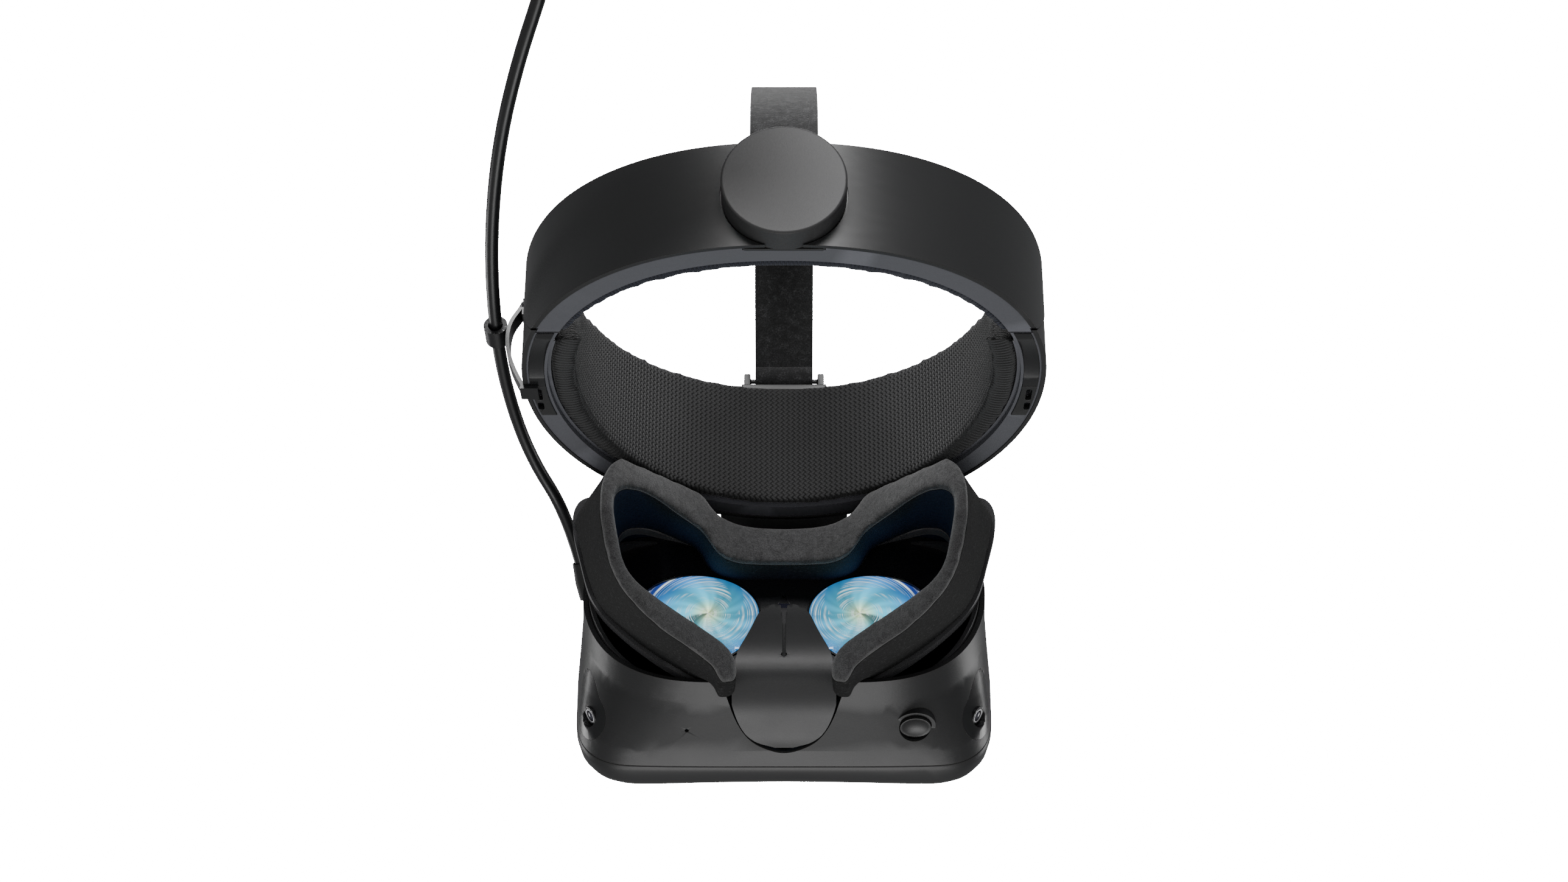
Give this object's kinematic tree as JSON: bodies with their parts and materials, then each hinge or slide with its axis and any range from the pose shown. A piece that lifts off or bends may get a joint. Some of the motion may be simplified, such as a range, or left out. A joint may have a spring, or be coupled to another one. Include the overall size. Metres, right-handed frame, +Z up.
{
  "type": "vr headset",
  "caption": "Tethered headset with a rigid head band, rear fit wheel, top strap and a hinged, sliding visor holding two lenses, face foam, cameras and a wound cord.",
  "frame": {"origin": "centre of the opening inside the head band, where the head goes", "axes": "+Z up as worn with the lens axes level, the visor's front faces -Y, the back of the head is +Y, the wearer's left is +X"},
  "size_m": [0.2194, 0.4725, 0.1965],
  "materials": {
    "satin_black": "moulded satin black",
    "gloss_black": "polished black",
    "grey_plastic": "fine textured blue-grey",
    "dial_grey": "matt, fine textured",
    "mesh_fabric": "knitted spacer mesh",
    "woven_fabric": "woven cover over foam",
    "suede_foam": "soft napped foam",
    "strap_felt": "napped loop webbing",
    "soft_rubber": "matt rubber",
    "cord_jacket": "satin cord jacket",
    "steel": "plain steel",
    "lens_clear": "clear moulded lens",
    "camera_glass": "coated camera glass",
    "display": "dark display glass",
    "board": "green laminate"
  },
  "bodies": {
    "front_band": {"band_shell": "satin_black", "band_inner": "grey_plastic", "arm_liner_left": "satin_black", "arm_liner_right": "satin_black", "speaker_panel_left": "grey_plastic", "speaker_panel_right": "grey_plastic", "speaker_drivers": "satin_black", "bracket": "satin_black", "bracket_screws": "steel", "tilt_pin": "steel", "arm_tongues": "satin_black", "front_pad_backing": "grey_plastic", "front_pad": "woven_fabric", "top_strap": "strap_felt", "strap_buckle": "satin_black", "cable_clip": "satin_black", "cord_tube": "cord_jacket", "cord_coil": "cord_jacket", "coil_tie": "satin_black", "cord_splitter": "satin_black", "tail_video": "cord_jacket", "tail_usb": "cord_jacket", "plug_video": "satin_black", "plug_usb": "satin_black", "plug_video_metal": "steel", "plug_usb_metal": "steel"},
    "rear_band": {"rear_shell": "satin_black", "rear_frame": "grey_plastic", "rear_pad": "mesh_fabric", "rack_left": "grey_plastic", "rack_right": "grey_plastic"},
    "fit_wheel": {"fit_dial": "dial_grey", "dial_shaft": "dial_grey", "dial_screw": "steel"},
    "visor_arm": {"visor_arm": "satin_black"},
    "visor": {"visor_housing": "satin_black", "visor_front_cover": "satin_black", "foam_frame": "satin_black", "visor_rail": "satin_black", "light_tunnel": "satin_black", "lens_plate": "satin_black", "display_frame": "satin_black", "light_shields": "satin_black", "microphone": "satin_black", "headphone_jack": "satin_black", "visor_skirt": "gloss_black", "camera_panels": "gloss_black", "camera_bodies": "gloss_black", "lens_rims": "gloss_black", "proximity_window": "gloss_black", "face_foam": "suede_foam", "nose_flap": "soft_rubber", "cord_gland": "soft_rubber", "button_spring": "steel", "lens_left": "lens_clear", "lens_right": "lens_clear", "camera_glass": "camera_glass", "display_panel": "display", "main_board": "board"},
    "release_button": {"release_button": "satin_black"}
  },
  "joints": [
    {"name": "rear_slide", "type": "slide", "parent": "front_band", "child": "rear_band", "axis": [0, 0.9583, -0.2857], "range_m": [0, 0.018], "deforming": ["top_strap"]},
    {"name": "dial_spin", "type": "hinge", "parent": "rear_band", "child": "fit_wheel", "pos_m": [0, 0.115, -0.03428], "axis": [0, 0.9583, -0.2857], "range_deg": [-5, 180]},
    {"name": "visor_tilt", "type": "hinge", "parent": "front_band", "child": "visor_arm", "pos_m": [0, -0.1285, 0.0187], "axis": [1, 0, 0], "range_deg": [-12, 0], "deforming": ["cord_tube"]},
    {"name": "visor_slide", "type": "slide", "parent": "visor_arm", "child": "visor", "axis": [0, -1, 0], "range_m": [0, 0.012]},
    {"name": "button_press", "type": "slide", "parent": "visor", "child": "release_button", "axis": [0, 0, 1], "range_m": [0, 0.0015], "stiffness_N_per_m": 700, "springref_m": -0.0008, "deforming": ["button_spring"]}
  ],
  "couplings": [
    {"joint": "dial_spin", "follows": "rear_slide", "rad_per_m": 166.67}
  ]
}
